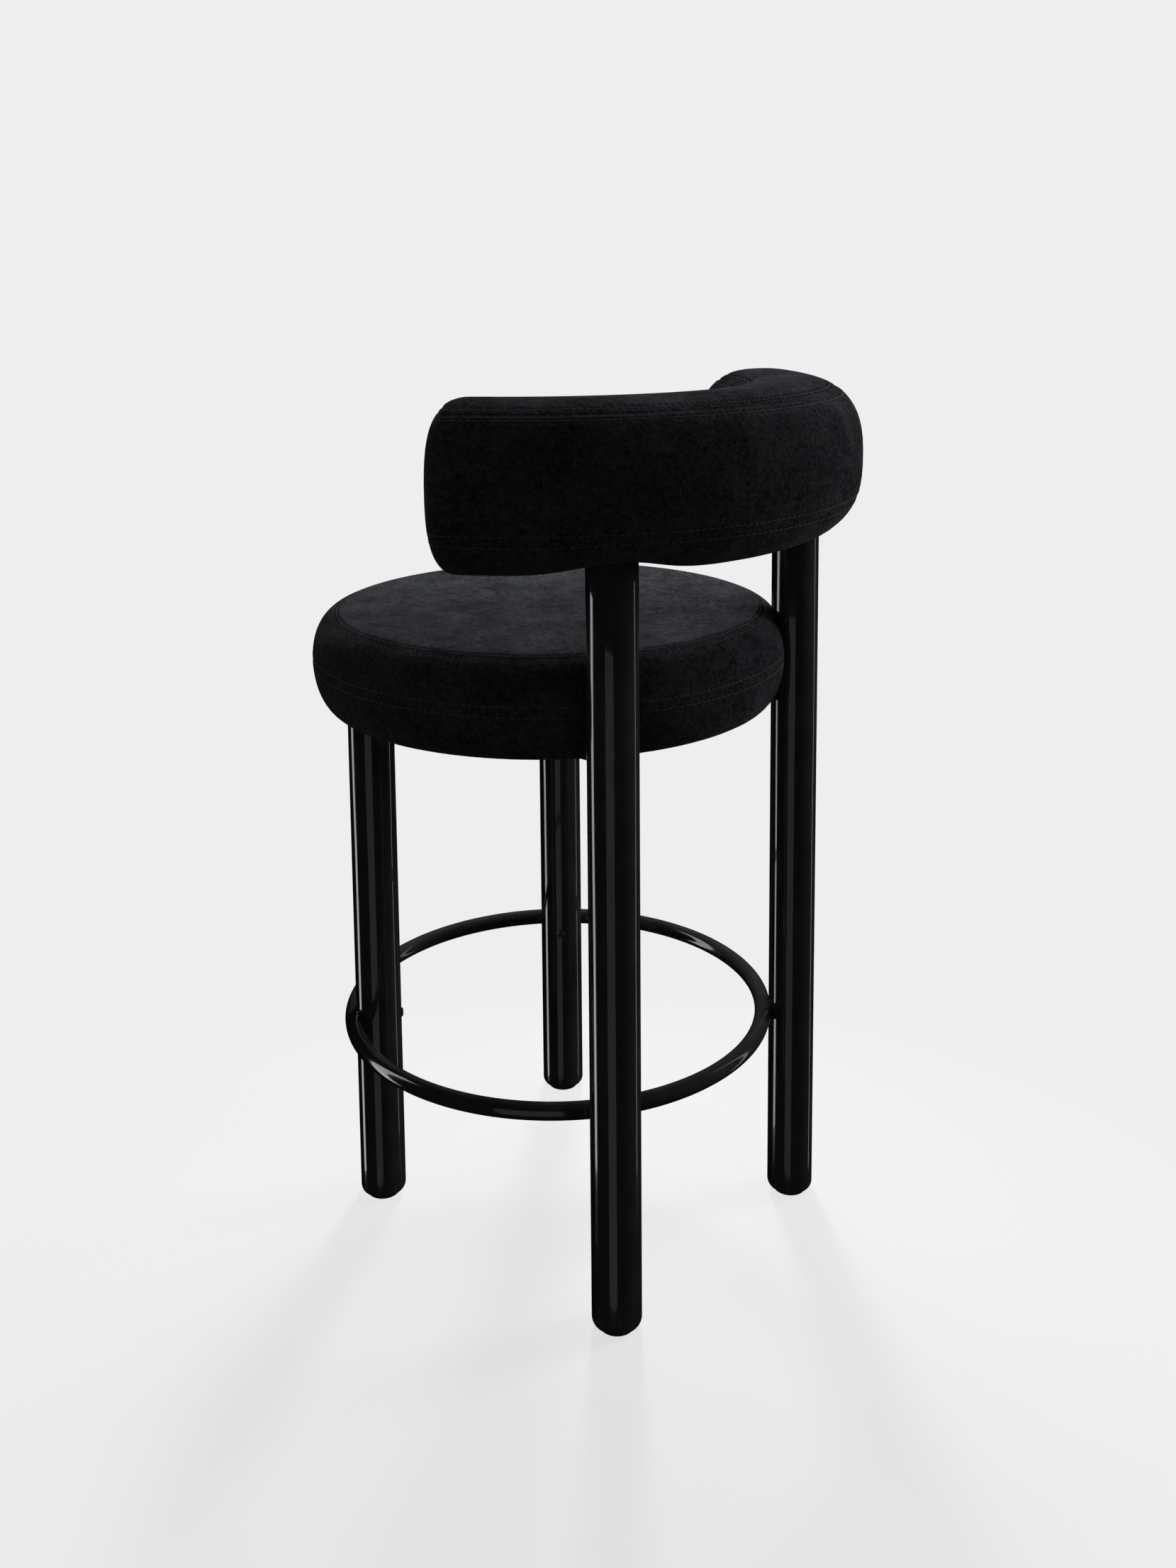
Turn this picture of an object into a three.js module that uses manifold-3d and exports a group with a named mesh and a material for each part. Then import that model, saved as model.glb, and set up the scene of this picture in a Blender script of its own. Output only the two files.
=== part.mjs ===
// Bar stool with footrest: four tubular legs, a thin ring as footrest, a thick round seat and a
// C-shaped backrest pad carried on the two rear legs. Millimetres, +Z up, the sitter faces -Y.
import * as THREE from 'three';
import Module from 'manifold-3d';
import { mergeVertices } from 'three/addons/utils/BufferGeometryUtils.js';
import { ParametricGeometry } from 'three/addons/geometries/ParametricGeometry.js';

// ---- Driving dimensions -------------------------------------------------------------------
const CLEARANCE = 0.3;             // left between pieces that touch
const SOFT_CLEARANCE = 0.8;        // left between a cushion and the frame it is pressed against
const TUBE_SIDES = 40;             // facets round a leg and round the seat's flat discs
const SCREW_SIDES = 8;
const SEAT_Y = -38;                // seat axis, which puts the origin under the middle of the stool

const LEG_R = 24;
const LEG_WALL = 2;
const LEG_X = 146;
const REAR_LEG_Y = SEAT_Y + 211;
const FRONT_LEG_Y = SEAT_Y - 122;

const GLIDE_H = 3;
const FOOT_BASE_R = 17.6;          // flat underside of a foot cap
const FOOT_CORNER_H = 7;
const FOOT_TOP = 13;
const SPIGOT_H = 14;               // the part of a foot cap that goes up into the tube
const SPIGOT_R = LEG_R - LEG_WALL - CLEARANCE;
const GLIDE_R = 17;
const GLIDE_HOLE_R = 5;
const GLIDE_SCREW_HEAD_R = 4.6;
const GLIDE_SCREW_TOP = 19;

const RING_Y = SEAT_Y + 6;
const RING_Z = 204;
const RING_R = 221;
const RING_TUBE_R = 9;
const RING_SCREW_R = 3;
const RING_SCREW_HEAD_R = 4.8;
const RING_SCREW_HEAD_H = 1;
const RING_SCREW_DOME_R = 3.4;
const RING_SCREW_DOME_H = 0.6;
const RING_SCREW_PAST = 3;         // how far the screw's tip goes past the ring's centre line

const SEAT_R = 248;                // widest line of the cushion
const SEAT_SEAM_R = 226;           // seam between the side band and the crowned top
const SEAT_TOP = 650;
const SEAT_SEAM_Z = 645;
const SEAT_WIDE_Z = 599;
const SEAT_BOTTOM = 549;
const SEAT_RECESS_R = 220;         // hollow under the cushion that takes the board and frame
const BOARD_R = SEAT_RECESS_R - 1;
const BOARD_H = 15;
const BOARD_TOP = 590;
const COVER_H = 1.5;
const RAIL_SIDE = 18;
const RAIL_WALL = 1.5;
const STRAP_W = 30;
const STRAP_Y = { front: SEAT_Y - 30, rear: SEAT_Y + 90 };
const STRAP_SCREW_X = 60;
const PLATE_R = 36;
const PLATE_H = 3;
const PLATE_SCREW_R = 30;          // from the leg's axis to a plate screw
const SCREW_R = 2.2;
const SCREW_HEAD_R = 4.4;
const SCREW_HEAD_H = 2.2;
const SCREW_DEPTH = 12;            // how far a screw goes up into the board

const PAD_Y = SEAT_Y - 20;         // centre of the backrest's arc
const PAD_R = 258;                 // centre line of the pad across the stool
const PAD_DEPTH_RATIO = 1.04;      // the arc is a little deeper than it is wide
const PAD_HALF_ANGLE = 1.083;
const PAD_END_ANGLE = 0.081;       // the rounding of each arm's end, beyond the half angle
const PAD_THICK = 146;
const PAD_HEIGHT = 156;
const PAD_Z = 808;
const PAD_FULLNESS = 2.66;         // 2 is an ellipse, more is squarer

const CORE_H = 96;
const CORE_THICK = 12;
const CORE_HALF_ANGLE = 0.9;
const POST_TOP = 830;              // upper end of the rear legs, inside the pad
const POST_BOLT_R = 3;
const POST_BOLT_HEAD_R = 6;
const POST_BOLT_HEAD_H = 4;
const POST_BOLT_Z = { lower: 775, upper: 805 };
const POST_PLUG_H = 2;             // the plug's rim, above the end of the tube

// ---- Finishes -----------------------------------------------------------------------------
const finish = (color, roughness, metalness) => (
  new THREE.MeshStandardMaterial({ color, roughness, metalness })
);
const blackGloss = finish(0x0b0b0c, 0.1, 0.2);
const velvet = finish(0x26262b, 0.95, 0);
const plywood = finish(0xc9a574, 0.6, 0);
const zincSteel = finish(0xb4b6b8, 0.35, 1);
const blackPlastic = finish(0x151516, 0.55, 0);
const coverCloth = finish(0x1a1a1c, 0.9, 0);

// ---- Solids: three.js geometry in and out of manifold ----------------------------------------
const wasm = await Module();
wasm.setup();

function toSolid(geometry) {
  const bare = geometry.clone();
  bare.deleteAttribute('normal');
  bare.deleteAttribute('uv');
  const merged = mergeVertices(bare, 1e-3);
  const corners = [];
  for (let i = 0; i < merged.index.count; i += 3) {
    const [a, b, c] = [0, 1, 2].map((k) => merged.index.getX(i + k));
    if (a !== b && b !== c && c !== a) corners.push(a, b, c);
  }
  return new wasm.Manifold(new wasm.Mesh({
    numProp: 3,
    vertProperties: new Float32Array(merged.attributes.position.array),
    triVerts: new Uint32Array(corners),
  }));
}

function toGeometry(solid) {
  const mesh = solid.getMesh();
  const geometry = new THREE.BufferGeometry();
  geometry.setAttribute('position', new THREE.BufferAttribute(mesh.vertProperties, 3));
  geometry.setIndex(new THREE.BufferAttribute(mesh.triVerts, 1));
  return geometry;
}

// A solid turned about the Z axis, from a closed or axis-to-axis outline of [radius, height] points.
function turned(outline, segments) {
  const points = outline.map(([r, z]) => new THREE.Vector2(r, z));
  return toSolid(new THREE.LatheGeometry(points, segments).rotateX(Math.PI / 2));
}

function disc(radius, bottom, top, segments) {
  return turned([[0, bottom], [radius, bottom], [radius, top], [0, top]], segments);
}

function box(size, centre) {
  return toSolid(new THREE.BoxGeometry(...size).translate(...centre));
}

// A round bar from one point to another.
function rod(from, to, radius, segments = 16) {
  const axis = to.clone().sub(from);
  const bar = new THREE.CylinderGeometry(radius, radius, axis.length(), segments);
  const turn = new THREE.Quaternion().setFromUnitVectors(
    new THREE.Vector3(0, 1, 0), axis.clone().normalize());
  const middle = from.clone().add(to).multiplyScalar(0.5);
  return toSolid(bar.applyQuaternion(turn).translate(...middle.toArray()));
}

const stool = new THREE.Group();

function place(name, solid, material) {
  const mesh = new THREE.Mesh(toGeometry(solid), material);
  mesh.name = name;
  stool.add(mesh);
}

const sides = [['right', 1], ['left', -1]];
const legs = sides.flatMap(([side, x]) => [
  { name: `rear_${side}`, rear: true, x: x * LEG_X, y: REAR_LEG_Y },
  { name: `front_${side}`, rear: false, x: x * LEG_X, y: FRONT_LEG_Y },
]);

const rearLegs = legs.filter(({ rear }) => rear);
const frontLegs = legs.filter(({ rear }) => !rear);

const PLATE_TOP = BOARD_TOP - BOARD_H - CLEARANCE;
const FRONT_LEG_TOP = PLATE_TOP - PLATE_H - CLEARANCE;
const RAIL_TOP = FRONT_LEG_TOP;

// A cylinder round a leg that cuts its neighbours clear of it.
function legClearance(leg, gap, bottom = SEAT_BOTTOM - SEAT_TOP / 10, top = SEAT_TOP * 1.1) {
  return disc(LEG_R + gap, bottom, top, TUBE_SIDES).translate([leg.x, leg.y, 0]);
}

// ---- Ring screws: through each front leg from the ring's middle out into the ring ----------
// The head's flat back stands clear of the tube, and its dome is two steps.
function ringScrewLine(leg) {
  const out = new THREE.Vector3(leg.x, leg.y - RING_Y, 0).normalize();
  const legCentre = new THREE.Vector3(leg.x, leg.y, RING_Z);
  const at = (distance) => legCentre.clone().addScaledVector(out, distance);
  const reach = RING_R - Math.hypot(leg.x, leg.y - RING_Y);
  return { at, tip: reach + RING_SCREW_PAST };
}

function ringScrew(leg) {
  const { at, tip } = ringScrewLine(leg);
  const seat = -LEG_R - CLEARANCE;
  const rim = seat - RING_SCREW_HEAD_H;
  const head = rod(at(rim), at(seat), RING_SCREW_HEAD_R);
  const dome = rod(at(rim - RING_SCREW_DOME_H), at(rim), RING_SCREW_DOME_R);
  const shank = rod(at(seat - RING_SCREW_HEAD_H / 2), at(tip), RING_SCREW_R, SCREW_SIDES);
  return head.add(dome).add(shank);
}

function ringScrewHole(leg) {
  const { at, tip } = ringScrewLine(leg);
  return rod(at(-2 * LEG_R), at(tip + 2 * CLEARANCE), RING_SCREW_R + CLEARANCE, SCREW_SIDES);
}

// ---- Backrest bolts: radial, through the rear legs into the shaped core ----------------------
function padDirection(leg) {
  return new THREE.Vector3(leg.x, leg.y - PAD_Y, 0).normalize();
}

function postBolt(leg, z, gap) {
  const inward = padDirection(leg).negate();
  const at = (distance) => new THREE.Vector3(leg.x, leg.y, z).addScaledVector(inward, distance);
  const under = -LEG_R - CLEARANCE;
  const tip = LEG_R + CORE_THICK + POST_BOLT_R;
  const head = rod(at(under - POST_BOLT_HEAD_H - gap), at(under + gap), POST_BOLT_HEAD_R + gap, 6);
  const shank = rod(at(under - POST_BOLT_HEAD_H / 2), at(tip + gap), POST_BOLT_R + gap, SCREW_SIDES);
  return head.add(shank);
}

// ---- Legs --------------------------------------------------------------------------------
for (const leg of legs) {
  const bottom = FOOT_TOP + CLEARANCE;
  const top = leg.rear ? POST_TOP : FRONT_LEG_TOP;
  const inner = LEG_R - LEG_WALL;
  const outline = [[inner, bottom], [LEG_R, bottom], [LEG_R, top], [inner, top], [inner, bottom]];
  let tube = turned(outline, TUBE_SIDES).translate([leg.x, leg.y, 0]);
  if (leg.rear) {
    for (const z of Object.values(POST_BOLT_Z)) tube = tube.subtract(postBolt(leg, z, CLEARANCE));
  } else {
    tube = tube.subtract(ringScrewHole(leg));
  }
  place(`${leg.name}_leg`, tube, blackGloss);
}

// ---- Feet: a rounded cap welded into each tube, a glide pad and its screw --------------------
const footOutline = new THREE.Path()
  .moveTo(FOOT_BASE_R, GLIDE_H + CLEARANCE)
  .quadraticCurveTo(LEG_R - 1, GLIDE_H + 2, LEG_R, GLIDE_H + FOOT_CORNER_H)
  .getPoints(4)
  .map((p) => [p.x, p.y]);
const capOutline = [
  [0, GLIDE_H + CLEARANCE], ...footOutline, [LEG_R, FOOT_TOP], [SPIGOT_R, FOOT_TOP],
  [SPIGOT_R, FOOT_TOP + SPIGOT_H], [0, FOOT_TOP + SPIGOT_H],
];
for (const leg of legs) {
  const screwHole = disc(SCREW_R + CLEARANCE, 0, GLIDE_SCREW_TOP + 1, SCREW_SIDES);
  const cap = turned(capOutline, 28).subtract(screwHole);
  place(`${leg.name}_foot_cap`, cap.translate([leg.x, leg.y, 0]), blackGloss);

  const glideHole = disc(GLIDE_HOLE_R, -GLIDE_H, 2 * GLIDE_H, 10);
  const glide = disc(GLIDE_R, 0, GLIDE_H, 20).subtract(glideHole);
  place(`${leg.name}_glide`, glide.translate([leg.x, leg.y, 0]), blackPlastic);

  const head = disc(GLIDE_SCREW_HEAD_R, GLIDE_H / 3, GLIDE_H, SCREW_SIDES);
  const screw = head.add(disc(SCREW_R, GLIDE_H / 2, GLIDE_SCREW_TOP, SCREW_SIDES));
  place(`${leg.name}_glide_screw`, screw.translate([leg.x, leg.y, 0]), zincSteel);
}

// ---- Footrest: one bent tube, let into the inner side of the rear legs and the outer side of
// ---- the front legs where it passes them ------------------------------------------------------
let ring = toSolid(new THREE.TorusGeometry(RING_R, RING_TUBE_R, 10, 64)).translate([0, RING_Y, RING_Z]);
for (const leg of legs) {
  ring = ring.subtract(legClearance(leg, CLEARANCE, RING_Z - 2 * RING_TUBE_R, RING_Z + 2 * RING_TUBE_R));
  if (!leg.rear) ring = ring.subtract(ringScrewHole(leg));
}
place('footrest_ring', ring, blackGloss);
for (const leg of frontLegs) place(`${leg.name}_ring_screw`, ringScrew(leg), blackGloss);

// ---- Seat frame: plates on the front legs, two side rails and two cross straps ---------------
const strapHeights = [PLATE_TOP - PLATE_H, PLATE_TOP];
const plateScrewTurns = { side: 0, end: 1.3 };
const plateScrews = frontLegs.flatMap((leg) => Object.entries(plateScrewTurns).map(([end, turn]) => ({
  name: `${leg.name}_plate_screw_${end}`,
  x: leg.x - Math.sign(leg.x) * PLATE_SCREW_R * Math.cos(turn),
  y: leg.y - PLATE_SCREW_R * Math.sin(turn),
})));
const strapScrews = Object.entries(STRAP_Y).flatMap(([end, y]) => sides.map(([side, x]) => (
  { name: `${end}_strap_screw_${side}`, x: x * STRAP_SCREW_X, y }
)));
const boardScrews = [...plateScrews, ...strapScrews];

function boardScrew(gap) {
  const under = strapHeights[0] - CLEARANCE;
  const head = disc(SCREW_HEAD_R + gap, under - SCREW_HEAD_H - gap, under, SCREW_SIDES);
  const tip = PLATE_TOP + SCREW_DEPTH + gap;
  return head.add(disc(SCREW_R + gap, under - SCREW_HEAD_H / 2, tip, SCREW_SIDES));
}

function withScrewHoles(solid) {
  return boardScrews.reduce((rest, { x, y }) => (
    rest.subtract(boardScrew(CLEARANCE).translate([x, y, 0]))
  ), solid);
}

const withinRecess = disc(BOARD_R, ...strapHeights, TUBE_SIDES).translate([0, SEAT_Y, 0]);
for (const leg of frontLegs) {
  const plate = disc(PLATE_R, ...strapHeights, 28).translate([leg.x, leg.y, 0]).intersect(withinRecess);
  place(`${leg.name}_top_plate`, withScrewHoles(plate), blackGloss);
}

const railLength = REAR_LEG_Y - FRONT_LEG_Y;
const railMiddleY = (REAR_LEG_Y + FRONT_LEG_Y) / 2;
const railZ = RAIL_TOP - RAIL_SIDE / 2;
function rail(x, gap) {
  const size = RAIL_SIDE + 2 * gap;
  return box([size, railLength, size], [x, railMiddleY, railZ]);
}
for (const [side, sign] of sides) {
  const boreSide = RAIL_SIDE - 2 * RAIL_WALL;
  const bore = box([boreSide, 2 * railLength, boreSide], [sign * LEG_X, railMiddleY, railZ]);
  let tube = rail(sign * LEG_X, 0).subtract(bore);
  for (const leg of legs) tube = tube.subtract(legClearance(leg, CLEARANCE));
  place(`seat_rail_${side}`, tube, blackGloss);
}
for (const [end, y] of Object.entries(STRAP_Y)) {
  const strap = box([2 * LEG_X + RAIL_SIDE, STRAP_W, PLATE_H], [0, y, PLATE_TOP - PLATE_H / 2]);
  place(`seat_strap_${end}`, withScrewHoles(strap), blackGloss);
}
for (const { name, x, y } of boardScrews) {
  place(name, boardScrew(0).translate([x, y, 0]), zincSteel);
}

// ---- Seat: board, dust cover and the cushion pulled over them ---------------------------------
const board = disc(BOARD_R, BOARD_TOP - BOARD_H, BOARD_TOP, TUBE_SIDES).translate([0, SEAT_Y, 0]);
place('seat_board', withScrewHoles(board), plywood);

const coverBottom = SEAT_BOTTOM + 1;
let cover = disc(BOARD_R, coverBottom, coverBottom + COVER_H, TUBE_SIDES).translate([0, SEAT_Y, 0]);
for (const leg of frontLegs) cover = cover.subtract(legClearance(leg, SOFT_CLEARANCE));
place('seat_dust_cover', cover, coverCloth);

// The cushion's outline rounds out from its lower edge to the widest line, in to the seam and over
// the crown.
const cushionUnder = [
  [0, BOARD_TOP + CLEARANCE], [SEAT_RECESS_R, BOARD_TOP + CLEARANCE], [SEAT_RECESS_R, coverBottom],
];
const cushionOutline = new THREE.Path()
  .moveTo(SEAT_RECESS_R + 8, SEAT_BOTTOM)
  .quadraticCurveTo(SEAT_R - 3, SEAT_BOTTOM + 2, SEAT_R, SEAT_WIDE_Z)
  .bezierCurveTo(SEAT_R, SEAT_WIDE_Z + 26, SEAT_R - 8, SEAT_SEAM_Z - 4, SEAT_SEAM_R, SEAT_SEAM_Z)
  .bezierCurveTo(SEAT_SEAM_R * 0.9, SEAT_TOP, SEAT_SEAM_R * 0.6, SEAT_TOP, 0, SEAT_TOP)
  .getPoints(4)
  .map((p) => [p.x, p.y]);
let cushion = turned([...cushionUnder, ...cushionOutline], 48).translate([0, SEAT_Y, 0]);
for (const leg of rearLegs) {
  cushion = cushion.subtract(legClearance(leg, SOFT_CLEARANCE));
  cushion = cushion.subtract(rail(leg.x, SOFT_CLEARANCE));
}
place('seat_cushion', cushion, velvet);

// ---- Backrest: shaped core and bolts inside a thick pad -----------------------------------------
// A point of the pad at an angle round the arc, a distance out from its centre line and a height.
function padPoint(angle, out, height, target = new THREE.Vector3()) {
  const radius = PAD_R + out;
  return target.set(
    radius * Math.sin(angle),
    PAD_Y + radius * PAD_DEPTH_RATIO * Math.cos(angle),
    PAD_Z + height,
  );
}

const signedPower = (value, power) => Math.sign(value) * Math.abs(value) ** power;

// The pad's skin: a full rounded section carried round the arc, closing at the end of each arm.
function padSkin(u, v, target) {
  const along = 2 * v - 1;
  const reach = PAD_HALF_ANGLE + PAD_END_ANGLE;
  const endShare = PAD_END_ANGLE / reach;
  const past = Math.max(0, (Math.abs(along) - 1 + endShare) / endShare);
  const shrink = Math.sqrt(Math.max(0, 1 - past * past));
  const turn = u * 2 * Math.PI;
  const out = signedPower(Math.cos(turn), 2 / PAD_FULLNESS) * (PAD_THICK / 2) * shrink;
  const height = signedPower(Math.sin(turn), 2 / PAD_FULLNESS) * (PAD_HEIGHT / 2) * shrink ** 0.6;
  padPoint(along * reach, out, height, target);
}

// The rows crowd together towards the ends of the arms, where the section closes.
function padEvenly(u, v, target) {
  const along = 2 * v - 1;
  const crowded = Math.sign(along) * (1 - (1 - Math.abs(along)) ** 1.6);
  padSkin(u, (1 + crowded) / 2, target);
}

// The core is a plywood shell bent round the inside of the posts, between two circles.
const postRadius = Math.hypot(LEG_X, REAR_LEG_Y - PAD_Y);
const coreOuterR = postRadius - LEG_R - CLEARANCE;
function coreShell(gap) {
  const outer = disc(coreOuterR + gap, PAD_Z - CORE_H / 2 - gap, PAD_Z + CORE_H / 2 + gap, 64);
  const inner = disc(coreOuterR - CORE_THICK - gap, PAD_Z - CORE_H, PAD_Z + CORE_H, 64);
  const reach = 2 * coreOuterR;
  const halfAngle = CORE_HALF_ANGLE + gap / coreOuterR;
  const wedge = new THREE.Shape()
    .moveTo(0, 0)
    .lineTo(reach * Math.sin(halfAngle), reach * Math.cos(halfAngle))
    .lineTo(reach * Math.sin(halfAngle), reach * 1.5)
    .lineTo(-reach * Math.sin(halfAngle), reach * 1.5)
    .lineTo(-reach * Math.sin(halfAngle), reach * Math.cos(halfAngle));
  const sector = toSolid(new THREE.ExtrudeGeometry(wedge, { depth: 2 * CORE_H, bevelEnabled: false })
    .translate(0, 0, PAD_Z - CORE_H));
  return outer.subtract(inner).intersect(sector).translate([0, PAD_Y, 0]);
}

let core = coreShell(0);
let pad = toSolid(new ParametricGeometry(padEvenly, 18, 32)).subtract(coreShell(CLEARANCE));
for (const leg of rearLegs) {
  const plugTop = POST_TOP + CLEARANCE + POST_PLUG_H;
  pad = pad.subtract(legClearance(leg, SOFT_CLEARANCE, SEAT_TOP, plugTop + SOFT_CLEARANCE));
  for (const [height, z] of Object.entries(POST_BOLT_Z)) {
    core = core.subtract(postBolt(leg, z, CLEARANCE));
    pad = pad.subtract(postBolt(leg, z, CLEARANCE));
    place(`${leg.name}_post_bolt_${height}`, postBolt(leg, z, 0), zincSteel);
  }
  const rim = disc(LEG_R, POST_TOP + CLEARANCE, plugTop, 24);
  const plug = rim.add(disc(SPIGOT_R, POST_TOP - SPIGOT_H, plugTop, 24));
  place(`${leg.name}_post_plug`, plug.translate([leg.x, leg.y, 0]), blackPlastic);
}
place('backrest_core', core, plywood);
place('backrest_pad', pad, velvet);

export default stool;
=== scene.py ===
import math

import bpy
import numpy as np
from mathutils import Euler, Matrix, Vector


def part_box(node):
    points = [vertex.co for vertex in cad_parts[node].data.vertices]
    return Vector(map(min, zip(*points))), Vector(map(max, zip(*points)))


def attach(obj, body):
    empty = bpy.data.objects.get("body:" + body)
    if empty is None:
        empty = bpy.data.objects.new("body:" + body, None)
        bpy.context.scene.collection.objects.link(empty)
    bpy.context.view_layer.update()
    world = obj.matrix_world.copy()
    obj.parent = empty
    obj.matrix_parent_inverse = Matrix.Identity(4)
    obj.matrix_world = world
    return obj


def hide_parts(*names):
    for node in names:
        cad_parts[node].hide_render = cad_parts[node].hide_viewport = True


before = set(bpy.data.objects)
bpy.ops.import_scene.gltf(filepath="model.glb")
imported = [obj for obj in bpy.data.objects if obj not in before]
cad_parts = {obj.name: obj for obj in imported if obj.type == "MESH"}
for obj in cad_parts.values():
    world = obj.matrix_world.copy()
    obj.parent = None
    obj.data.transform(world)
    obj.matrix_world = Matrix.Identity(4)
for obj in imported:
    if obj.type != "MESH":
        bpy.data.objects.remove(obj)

scene = bpy.context.scene
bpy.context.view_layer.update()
MM = 0.001

# ---- Camera and lamps ---------------------------------------------------------------------------
# The camera stands behind the stool and to its right, a little above the backrest. A soft lamp
# overhead and a low one, both on the far side, throw the legs' shadows towards the camera, and
# panels at the sides draw the streaks on the painted tubes.
EYE = (1.176, 1.050, 1.004)
LENS, SENSOR = 35.55, 36
VIEW_DROP = -0.2
PITCH, HEADING, ROLL = (math.radians(angle) for angle in (-7.7, -138.72, -0.5))
camera = bpy.data.objects.new("camera", bpy.data.cameras.new("camera"))
scene.collection.objects.link(camera)
camera.data.sensor_width = SENSOR
camera.data.lens = LENS
camera.data.shift_y = VIEW_DROP
camera.data.clip_end = 60
camera.location = EYE
aim = Euler((math.pi / 2 + PITCH, 0, HEADING - math.pi / 2)).to_matrix()
camera.rotation_mode = "QUATERNION"
camera.rotation_quaternion = (aim @ Matrix.Rotation(ROLL, 3, "Z")).to_quaternion()
scene.camera = camera
scene.view_settings.view_transform = "Standard"

PAPER = 0.856
AMBIENT = 0.2
world = bpy.data.worlds.new("studio")
scene.world = world
world.use_nodes = True
sky = world.node_tree
background = sky.nodes["Background"]
background.inputs["Color"].default_value = (AMBIENT, AMBIENT, AMBIENT, 1)
backdrop = sky.nodes.new("ShaderNodeBackground")
backdrop.inputs["Color"].default_value = (PAPER, PAPER, PAPER, 1)
seen = sky.nodes.new("ShaderNodeLightPath")
either = sky.nodes.new("ShaderNodeMixShader")
sky.links.new(seen.outputs["Is Camera Ray"], either.inputs[0])
sky.links.new(background.outputs[0], either.inputs[1])
sky.links.new(backdrop.outputs[0], either.inputs[2])
sky.links.new(either.outputs[0], sky.nodes["World Output"].inputs["Surface"])
world.cycles_visibility.glossy = False

VIEW_AZIMUTH = math.radians(41.8)


def lamp(name, turn, distance, height, size, power, look_at):
    """A rectangular lamp at an angle round the stool, in degrees from the camera's side."""
    data = bpy.data.lights.new(name, "AREA")
    data.shape = "RECTANGLE"
    data.size, data.size_y = size
    data.energy = power
    thing = bpy.data.objects.new(name, data)
    scene.collection.objects.link(thing)
    angle = VIEW_AZIMUTH + math.radians(turn)
    place = Vector((distance * math.cos(angle), distance * math.sin(angle), height))
    thing.location = place
    thing.rotation_euler = (Vector(look_at) - place).to_track_quat("-Z", "Y").to_euler()
    thing.visible_camera = False
    return thing


SOFT_LAMPS = (
    lamp("lamp_overhead", 176, 0.8, 2.0, (0.6, 0.5), 27, look_at=(0.05, 0.05, 0.3)),
    lamp("lamp_side", 105, 2.2, 1.4, (0.8, 1.6), 52, look_at=(0, 0, 0.75)),
    lamp("lamp_low_behind", 176, 1.2, 0.85, (0.2, 0.2), 33, look_at=(0, 0, 0.1)))
STREAK_PANELS = (
    lamp("panel_left", -98, 5, 1.0, (1.2, 8), 70, look_at=(0, 0, 1.0)),
    lamp("panel_right", 106, 5, 1.0, (0.35, 8), 8, look_at=(0, 0, 1.0)),
    lamp("panel_fill", -14, 2.6, -0.3, (1.5, 3.0), 2.5, look_at=(0, 0, -0.3)))
for soft in SOFT_LAMPS:
    soft.visible_glossy = False
for panel in STREAK_PANELS:
    panel.visible_diffuse = False

# ---- Floor --------------------------------------------------------------------------------------
# A round sheet of pale paper that runs into an equally pale backdrop. It glows by itself, fully so
# away from the shadows on the camera's side, so its far edge can't be told from the backdrop.


def skin(name, rings, poles=None, loop=False, smooth=True):
    """A closed skin over rings of points. rings[i, j] is point j of ring i, and each ring closes
    on itself. Two poles close the first and last ring with fans, or loop joins last to first."""
    count, around = rings.shape[:2]
    points = rings.reshape(-1, 3)
    index = np.arange(count * around).reshape(count, around)
    rows = np.vstack([index, index[:1]]) if loop else index
    near, far = rows[:-1], rows[1:]
    quads = np.stack([near, np.roll(near, -1, 1), np.roll(far, -1, 1), far], -1).reshape(-1, 4)
    fans = np.empty((0, 3), int)
    if poles is not None:
        points = np.vstack([points, poles])
        first, last = index[0], index[-1]
        start = np.full(around, len(points) - 2)
        end = start + 1
        fans = np.vstack([np.stack([np.roll(first, -1), first, start], -1),
                          np.stack([last, np.roll(last, -1), end], -1)])
    triangles = np.vstack([quads[:, :3], quads[:, [0, 2, 3]], fans])
    a, b, c = (points[triangles[:, k]] - points.mean(0) for k in range(3))
    if np.einsum("ij,ij->", a, np.cross(b, c)) < 0:
        quads, fans = quads[:, ::-1], fans[:, ::-1]
    mesh = bpy.data.meshes.new(name)
    mesh.from_pydata(points.tolist(), [], quads.tolist() + fans.tolist())
    mesh.shade_smooth() if smooth else mesh.shade_flat()
    piece = bpy.data.objects.new(name, mesh)
    scene.collection.objects.link(piece)
    return piece


class Value:
    """A number on its way through a material. Python's operators add the Math nodes."""

    def __init__(self, finish, socket):
        self.finish, self.socket = finish, socket

    def math(self, operation, *others):
        node = self.finish.tree.nodes.new("ShaderNodeMath")
        node.operation = operation
        for socket, value in zip(node.inputs, (self, *others)):
            self.finish.feed(socket, value)
        return Value(self.finish, node.outputs[0])

    def __add__(self, other):
        return self.math("ADD", other)

    __radd__ = __add__

    def __mul__(self, other):
        return self.math("MULTIPLY", other)

    __rmul__ = __mul__

    def __sub__(self, other):
        return self.math("SUBTRACT", other)

    def __rsub__(self, other):
        return self * -1 + other


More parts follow.
